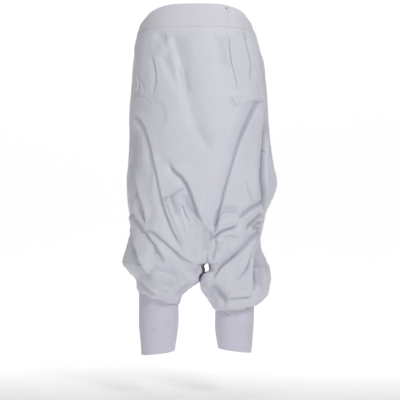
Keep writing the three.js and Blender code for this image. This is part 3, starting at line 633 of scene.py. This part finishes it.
panel_cotton = cloth_material(
    "panel cotton", light=(0.735, 0.74, 0.815), dark=(0.69, 0.695, 0.77), threads=2200, slub=0.6,
    crumple=0.32, roughness=0.52)


def run_along(line):
    """How far along a line each of its points is from its start."""
    return np.cumsum(np.r_[0, np.linalg.norm(np.diff(line, axis=0), axis=1)])


def panel_uv(side, first, last):
    """The UV of one side of a panel: its distances across and down the cloth, in metres."""
    plain = points[ids[side]]
    down = run_along(plain[:, (first + last) // 2])
    over = np.r_[0, np.cumsum(np.linalg.norm(np.diff(plain, axis=1), axis=2).mean(0))]
    u = 0.5 + side * 0.001 * over[None, :] + 0 * down[:, None]
    v = 1 - 0.001 * down[:, None] + 0 * over[None, :]
    return cells_of(np.stack([u, v], -1)[:, first:last + 1], side > 0).reshape(-1, 2)


def make_panel(name, first, last):
    quads = np.concatenate([quads_of(side, first, last) for side in (-1, 1)])
    uv = np.concatenate([panel_uv(side, first, last) for side in (-1, 1)])
    at = draped.copy()
    # the cut edges stand back a little from the seam lines
    seam_gap, crotch_gap, wall = 0.18, 0.4, 1.3
    edges = [(0, 1), (front_columns, front_columns - 1)]
    if first:
        edges = [(across, across - 1), (front_columns, front_columns + 1)]
    for side in (-1, 1):
        for edge, inside in edges:
            rows = slice(last_body if edge in (0, across) else 0, row_count)
            a, b = ids[side][rows, edge], ids[side][rows, inside]
            step = draped[b] - draped[a]
            at[a] = draped[a] + step / np.linalg.norm(step, axis=1, keepdims=True) * seam_gap
    at[ids[-1][last_body, 0]] = (crotch_across, crotch_gap if first else -crotch_gap, crotch)
    return sheet_mesh(name, at, quads, uv, panel_cotton, wall, painted_nip_shade)


front_panel = make_panel("front_panel", 0, front_columns)
back_panel = make_panel("back_panel", front_columns, across)
for piece, node_name in ((front_panel, "front"), (back_panel, "back")):
    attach(piece, "root")
    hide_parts(node_name)

# ------------------------------------------------------------
# Waistband: one strip of the same cotton, doubled and faced, deeper in front. It starts under its
# own end at the placket and runs round to it, and is stitched along both of its long edges.
band = dict(placket=29.0, under=9.0, step=2.6, wall=1.8, across=420, down=18)
band_cotton = cloth_material(
    "waistband cotton", light=(0.75, 0.735, 0.80), dark=(0.71, 0.70, 0.76), threads=2200, slub=0.5,
    crumple=0.12, roughness=0.6)


def band_grid():
    """Points of the band's show side, from its under end round to its upper end."""
    turn = np.linspace(band["placket"] - band["under"], 360 + band["placket"], band["across"] + 1)
    wrapped = (turn + 180) % 360 - 180
    share = np.linspace(0, 1, band["down"] + 1)
    out = []
    for a, w in zip(turn, wrapped):
        side = -1 if w < 0 else 1
        p = np.array([place(waist_edge, "angle", abs(w - edge_turn * math.sin(math.radians(w))))])
        top = read(waist_edge, "top", p)
        low = read(waist_edge, "band", p) - 0.2
        at = body_point(side, np.full(len(share), abs(w)), top + (low - top) * share)
        inset = band["step"] * (1 - ease(band["placket"] + 1, band["placket"] + 8, a)) if a < 90 else 0
        length = np.linalg.norm(at[:, :2], axis=1, keepdims=True)
        # the doubled cloth is a little fuller between its stitched edges, and not quite even
        full = 0.3 + 0.4 * np.sin(math.pi * share) + 0.5 * np.sin(a / 7.3) * share * (1 - share) * 4
        at[:, :2] *= 1 - (inset - full[:, None]) / length
        out.append(at)
    return np.array(out)


strip = band_grid()
n_down = band["down"] + 1
strip_ids = np.arange(strip.shape[0] * n_down).reshape(strip.shape[:2])
strip_quads = cells_of(strip_ids).reshape(-1, 4)
strip_points = strip.reshape(-1, 3)
along = run_along(strip[:, n_down // 2]) * 0.001
depth = np.linspace(0, 0.055, n_down)
strip_uv = np.stack(np.broadcast_arrays(0.1 + along[:, None], 0.2 - depth[None]), -1)
strip_uv = cells_of(strip_uv).reshape(-1, 2)
waist_piece = sheet_mesh("waistband_cloth", strip_points, strip_quads, strip_uv, band_cotton, band["wall"])
soft_edge = waist_piece.modifiers.new("turned edges", "BEVEL")
soft_edge.width, soft_edge.segments, soft_edge.limit_method = 0.0005, 2, "ANGLE"
soft_edge.angle_limit = math.radians(50)
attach(waist_piece, "root")
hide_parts("waistband")


def stitch_tree():
    """Stitches of a given length and spacing along every edge path of the mesh it is put on."""
    tree = bpy.data.node_groups.new("row of stitches", "GeometryNodeTree")
    face = tree.interface
    face.new_socket("Path", in_out="INPUT", socket_type="NodeSocketGeometry")
    for label, value in (("Spacing", 0.003), ("Stitch Length", 0.0023), ("Thread", 0.00042)):
        face.new_socket(label, in_out="INPUT", socket_type="NodeSocketFloat").default_value = value
    face.new_socket("Material", in_out="INPUT", socket_type="NodeSocketMaterial")
    face.new_socket("Stitches", in_out="OUTPUT", socket_type="NodeSocketGeometry")
    link = tree.links.new
    come, go = node(tree, "NodeGroupInput"), node(tree, "NodeGroupOutput")
    curve = node(tree, "GeometryNodeMeshToCurve")
    link(come.outputs["Path"], curve.inputs["Mesh"])
    spaced = node(tree, "GeometryNodeResampleCurve", mode="LENGTH")
    link(curve.outputs[0], spaced.inputs["Curve"])
    link(come.outputs["Spacing"], spaced.inputs["Length"])
    bead = node(tree, "GeometryNodeMeshUVSphere", {"Segments": 6, "Rings": 5, "Radius": 0.5})
    size = node(tree, "ShaderNodeCombineXYZ")
    link(come.outputs["Thread"], size.inputs[0])
    link(come.outputs["Thread"], size.inputs[1])
    link(come.outputs["Stitch Length"], size.inputs[2])
    shaped = node(tree, "GeometryNodeTransform")
    link(bead.outputs["Mesh"], shaped.inputs["Geometry"])
    link(size.outputs[0], shaped.inputs["Scale"])
    along_path = node(tree, "GeometryNodeInputTangent")
    aim = node(tree, "FunctionNodeAlignRotationToVector", axis="Z")
    link(along_path.outputs[0], aim.inputs["Vector"])
    each = node(tree, "GeometryNodeInstanceOnPoints")
    link(spaced.outputs[0], each.inputs["Points"])
    link(shaped.outputs[0], each.inputs["Instance"])
    link(aim.outputs[0], each.inputs["Rotation"])
    real = node(tree, "GeometryNodeRealizeInstances")
    link(each.outputs[0], real.inputs[0])
    finish = node(tree, "GeometryNodeSetMaterial")
    link(real.outputs[0], finish.inputs["Geometry"])
    link(come.outputs["Material"], finish.inputs["Material"])
    link(finish.outputs[0], go.inputs["Stitches"])
    return tree


def speckled_material(name, scale, dark, light):
    """A material that wavers finely between two colours, with its shader and its speckle."""
    material = bpy.data.materials.new(name)
    material.use_nodes = True
    tree = material.node_tree
    link = tree.links.new
    shader = tree.nodes["Principled BSDF"]
    speckle = node(tree, "ShaderNodeTexNoise", {"Scale": scale})
    spot = node(tree, "ShaderNodeTexCoord")
    link(spot.outputs["Object"], speckle.inputs["Vector"])
    tone = node(tree, "ShaderNodeValToRGB")
    tone.color_ramp.elements[0].color = (*dark, 1)
    tone.color_ramp.elements[1].color = (*light, 1)
    link(speckle.outputs[0], tone.inputs[0])
    link(tone.outputs[0], shader.inputs["Base Color"])
    return material, shader, speckle.outputs[0]


stitches = stitch_tree()
thread, thread_shader, _ = speckled_material(
    "cotton thread", 1800, (0.70, 0.70, 0.745), (0.80, 0.80, 0.835))
give(thread_shader, {"Sheen Weight": 0.2, "Roughness": 0.7})


def sew(name, paths, spacing=0.003, length=0.0023, width=0.00042):
    """Stitches along paths given in millimetres, as one plain mesh."""
    at, edges = [], []
    for path in paths:
        edges += [(len(at) + i, len(at) + i + 1) for i in range(len(path) - 1)]
        at += (np.asarray(path) * 0.001).tolist()
    mesh = bpy.data.meshes.new(name + "_path")
    mesh.from_pydata(at, edges, [])
    guide = in_scene(name + "_path", mesh)
    rows = guide.modifiers.new("stitches", "NODES")
    rows.node_group = stitches
    values = {"Spacing": spacing, "Stitch Length": length, "Thread": width, "Material": thread}
    for item in stitches.interface.items_tree:
        if item.in_out == "INPUT" and item.name in values:
            rows[item.identifier] = values[item.name]
    done = bpy.data.meshes.new_from_object(guide.evaluated_get(bpy.context.evaluated_depsgraph_get()))
    bpy.data.objects.remove(guide)
    piece = in_scene(name, done)
    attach(piece, "root")
    return piece


strip_normals = normals_of(strip_points, strip_quads).reshape(strip.shape)
lift = strip + strip_normals * 0.12
bare = 30  # columns at the under end, in the lap and just past it, that have no stitches
sew("waistband_stitches", [lift[bare:, 1], lift[bare:, -2], lift[-3, 1:-1]])

# ------------------------------------------------------------
# Stud: a small domed metal snap cap with a turned rim, pressed through the lapped band ends at the
# top of the placket to hold them closed.
stud_angle = math.radians(band["placket"] - 2.4)
stud_turn = math.degrees(stud_angle)
stud_below, stud_lift, around = 8, 0.75, 40  # under the band's edge, out from the form, and its facets
stud_place = place(waist_edge, "angle", abs(stud_turn - edge_turn * math.sin(stud_angle)))
stud_z = read(waist_edge, "top", np.array([stud_place]))[0] - stud_below
before, after, centre = (
    body_point(1, np.array([stud_turn + aside]), np.array([stud_z]))[0] for aside in (-0.5, 0.5, 0))
stud_out = Vector((after[1] - before[1], before[0] - after[0], 0)).normalized()
stud_profile = [(0, 0), (2.1, 0), (2.35, .15), (2.4, .45), (2.3, .8), (2.05, 1.0), (1.8, .92),
                (1.68, .95), (1.5, 1.25), (1.2, 1.55), (.8, 1.75), (.4, 1.85), (0, 1.88)]
turn_to = Vector((0, 0, 1)).rotation_difference(stud_out)
stud_points, stud_faces = [], []
for radius, height in stud_profile:
    for k in range(around):
        spin = 2 * math.pi * k / around
        spot = turn_to @ Vector((radius * math.cos(spin), radius * math.sin(spin), height + stud_lift))
        stud_points.append(tuple((Vector(centre) + spot) * 0.001))
for r in range(len(stud_profile) - 1):
    for k in range(around):
        a, b = r * around + k, r * around + (k + 1) % around
        stud_faces.append((a, b, b + around, a + around))
stud_mesh = bpy.data.meshes.new("waist_stud_cap")
stud_mesh.from_pydata(stud_points, [], stud_faces)
stud_mesh.validate()
shape = bmesh.new()
shape.from_mesh(stud_mesh)
bmesh.ops.remove_doubles(shape, verts=shape.verts, dist=1e-6)
bmesh.ops.recalc_face_normals(shape, faces=shape.faces)
shape.to_mesh(stud_mesh)
shape.free()
stud_mesh.polygons.foreach_set("use_smooth", [True] * len(stud_mesh.polygons))
stud_metal, stud_shader, stud_scuff = speckled_material(
    "stud metal", 900, (0.24, 0.24, 0.26), (0.42, 0.42, 0.45))
give(stud_shader, {"Metallic": 0.6})
stud_tree = stud_metal.node_tree
stud_uneven = math_node(stud_tree, "MULTIPLY", stud_scuff, 0.25)
stud_tree.links.new(math_node(stud_tree, "ADD", stud_uneven, 0.2), stud_shader.inputs["Roughness"])
stud_mesh.materials.append(stud_metal)
stud_cap = in_scene("waist_stud_cap", stud_mesh)
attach(stud_cap, "root")
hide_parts("waist_stud")

# ------------------------------------------------------------
# Cuffs: close tubes of smooth, slightly stretchy cotton below the rolled legs, with a turned and
# stitched hem that rises on the inside of each calf.
cuff_tables = {
    -1: dict(
        z_out=[-638, -690, -742, -780, -818], z_in=[-672, -700, -742, -777, -808],
        out=[-145, -145, -145, -142, -138.5], inn=[-47, -46, -46.5, -50.5, -56],
        front=[48, 48, 47, 44, 40], back=[48, 49, 48, 45, 41], sag=[0, 0, 0, 0, 0],
    ),
    1: dict(
        z_out=[-667, -712, -750, -785, -812], z_in=[-681, -714, -748, -778, -801],
        out=[142.4, 142.4, 141, 138.5, 135.5], inn=[46.6, 45.6, 45, 48, 53],
        front=[48, 48, 46, 43, 39], back=[48, 49, 47, 44, 40], sag=[0, 0, 0, 0, 0],
    ),
}
cuff_creases = {
    -1: dict(
        front=[
            ([(-126, -705), (-108, -702), (-92, -703)], 1, 1.3, 9, 1, 7, 1.5, 2, .3, .3, .3),
            ([(-88, -745), (-76, -742), (-60, -739)], 1, 1.3, 8, 1, 7, 1.5, 2, .3, .3, .3),
            ([(-124, -755), (-111, -752), (-98, -752)], 1, 1.2, 8, 1, 6, 1.2, 2, .3, .3, .3),
            ([(-100, -694), (-84, -697), (-64, -696)], -1, 1.2, 10, 1, 8, 1, 3, .3, .3, .3),
        ],
        back=[
            ([(60, -712), (90, -716), (128, -708)], 1, 1.4, 10, 1, 8, 1.5, 2, .3, .3, .3),
            ([(70, -748), (98, -744), (130, -750)], -1, 1.2, 9, 1, 7, 1.2, 2, .3, .3, .3),
        ],
    ),
    1: dict(
        front=[
            ([(62, -703), (74, -711), (90, -719)], 1, 1.4, 9, 1.2, 7, 1.6, 2, .3, .3, .3),
            ([(93, -719), (100, -721), (112, -720)], -1, 1.2, 7, 1, 6, 1.4, 2, .3, .3, .3),
            ([(98, -742), (116, -746), (134, -742)], 1, 1, 9, .8, 7, .8, 3, .3, .3, .3),
        ],
        back=[
            ([(60, -722), (92, -728), (128, -720)], -1, 1.4, 10, 1, 8, 1.5, 2, .3, .3, .3),
            ([(64, -760), (92, -756), (124, -762)], 1, 1.2, 9, 1, 7, 1.2, 2, .3, .3, .3),
        ],
    ),
}
cuff_cotton = cloth_material(
    "cuff cotton", light=(0.70, 0.685, 0.785), dark=(0.665, 0.65, 0.75), threads=2600, slub=0.3,
    crumple=0.07, roughness=0.6)
cuff_down, cuff_round = 90, 168
cuff_wall, hem_turn = 1.3, 12  # thickness of the cloth and height of the turned hem
cuff_painted_shade_share = 0.3  # the painted shade in the cuffs' nips is fainter than in the panels'


def make_cuff(name, side, node_name):
    rows = cuff_tables[side]
    angle = np.linspace(-90, 270, cuff_round, endpoint=False)
    rings = [ring_point(rows, angle, 4 * i / cuff_down, 0) for i in range(cuff_down + 1)]
    at = np.array(rings).reshape(-1, 3)
    key = np.arange(len(at)).reshape(cuff_down + 1, cuff_round)
    quads = cells_of(np.concatenate([key, key[:, :1]], 1), side > 0).reshape(-1, 4)
    normal = normals_of(at, quads)
    above_hem = np.linalg.norm(at.reshape(-1, cuff_round, 3) - rings[-1], axis=2).ravel()
    at, painted_crease_shade = creased(at, normal, cuff_creases[side], ease(2, 10, above_hem))
    # faint rings of slack, the pressed hem turn and the groove that its stitches pull in
    ripple = np.array([0.5 * noise.noise(Vector((x / 60, y / 60 + side, z / 9))) for x, y, z in at])
    turned = 0.55 * (1 - ease(hem_turn, hem_turn + 1.2, above_hem))
    groove = 0.35 * np.exp(-((above_hem - hem_turn + 2) / 0.9) ** 2)
    at += normal * (ripple * ease(0, 20, above_hem) + (turned - groove))[:, None]
    fall = run_along(np.array(rings)[:, cuff_round // 2]) * 0.001
    spread = np.linspace(0, 0.3, cuff_round + 1)
    uv = np.stack(np.broadcast_arrays(0.3 + side * 0.2 + side * spread[None], 0.5 - fall[:, None]), -1)
    uv = cells_of(uv, side > 0).reshape(-1, 2)
    piece = sheet_mesh(name, at, quads, uv, cuff_cotton, cuff_wall, cuff_painted_shade_share * painted_crease_shade)
    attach(piece, "root")
    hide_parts(node_name)
    # the hem's stitches run level with its edge, hem_turn less 2 mm above it
    normal = normals_of(at, quads)
    spots = at.reshape(-1, cuff_round, 3)
    heights = above_hem.reshape(-1, cuff_round)
    path = []
    for k in list(range(cuff_round)) + [0]:
        share = np.interp(hem_turn - 2, heights[::-1, k], np.arange(cuff_down, -1, -1))
        i = min(int(share), cuff_down - 1)
        here = spots[i, k] + (spots[i + 1, k] - spots[i, k]) * (share - i)
        path.append(here + normal.reshape(spots.shape)[i, k] * 0.1)
    sew(name + "_stitches", [path], spacing=0.0028, length=0.0021, width=0.00038)


make_cuff("cuff_left_cloth", -1, "cuff_left")
make_cuff("cuff_right_cloth", 1, "cuff_right")

# ------------------------------------------------------------
# Sewing of the panels: one row of small cotton stitches on the front panel beside each hip seam,
# from the waistband down past the crotch to about half way down the leg.
seam_paths = []
for side in (-1, 1):
    column = ids[side][3:last_body + 30, front_columns - 2]
    seam_paths.append(draped[column] + outward[column] * 0.15)
sew("panel_stitches", seam_paths)

# ------------------------------------------------------------
# Stage: a pale floor that curves up behind, soft light from above and in front, and the camera
# level with the middle of the garment.
sweep = [(-6.0, -0.93), (2.5, -0.93)]
sweep += [(2.5 + 1.6 * math.sin(t), 0.67 - 1.6 * math.cos(t)) for t in np.linspace(0.1, math.pi / 2, 14)]
sweep += [(4.1, 5.0)]
stage_points = [(x, y, z) for y, z in sweep for x in (-7, 7)]
stage_faces = [(2 * i, 2 * i + 1, 2 * i + 3, 2 * i + 2) for i in range(len(sweep) - 1)]
stage_mesh = bpy.data.meshes.new("studio_sweep")
stage_mesh.from_pydata(stage_points, [], stage_faces)
stage_mesh.polygons.foreach_set("use_smooth", [True] * len(stage_mesh.polygons))
paper = bpy.data.materials.new("pale paper")
paper.use_nodes = True
paper_tree = paper.node_tree
paper_shader = paper_tree.nodes["Principled BSDF"]
give(paper_shader, {"Base Color": (0.8, 0.8, 0.8, 1), "Roughness": 0.9, "Emission Strength": 1})
paper_place = node(paper_tree, "ShaderNodeTexCoord")
paper_depth = node(paper_tree, "ShaderNodeSeparateXYZ")
paper_glow = node(paper_tree, "ShaderNodeMapRange")
give(paper_glow, {"From Min": -0.4, "From Max": 0.6, "To Min": 0.1, "To Max": 0.62})
paper_tree.links.new(paper_place.outputs["Object"], paper_depth.inputs[0])
paper_tree.links.new(paper_depth.outputs["Y"], paper_glow.inputs["Value"])
paper_tree.links.new(paper_glow.outputs[0], paper_shader.inputs["Emission Color"])
stage_mesh.materials.append(paper)
studio = in_scene("studio_sweep", stage_mesh)


def softbox(name, place_at, aim_at, size, watts):
    lamp = bpy.data.lights.new(name, "AREA")
    lamp.shape, lamp.size, lamp.energy = "SQUARE", size, watts
    light = in_scene(name, lamp)
    light.location = place_at
    light.rotation_euler = (Vector(aim_at) - Vector(place_at)).to_track_quat("-Z", "Y").to_euler()


softbox("key softbox", (1.15, -2.35, 0.9), (0, 0, -0.5), 0.6, 26)
softbox("fill softbox", (-0.6, -3.0, -0.65), (0, 0, -0.6), 1.0, 17)
softbox("top softbox", (0.0, -0.8, 2.1), (0, 0, -0.5), 1.2, 10)
world = bpy.data.worlds.new("studio")
world.use_nodes = True
give(world.node_tree.nodes["Background"], {"Color": (1, 1, 1, 1), "Strength": 0.18})
bpy.context.scene.world = world
bpy.context.scene.view_settings.view_transform = "Standard"

lens = bpy.data.cameras.new("camera")
lens.sensor_width, lens.lens = 36, 108
camera = in_scene("camera", lens)
camera.location = (0.0075, -3.0, -0.4325)
camera.rotation_euler = (math.pi / 2, 0, 0)
bpy.context.scene.camera = camera
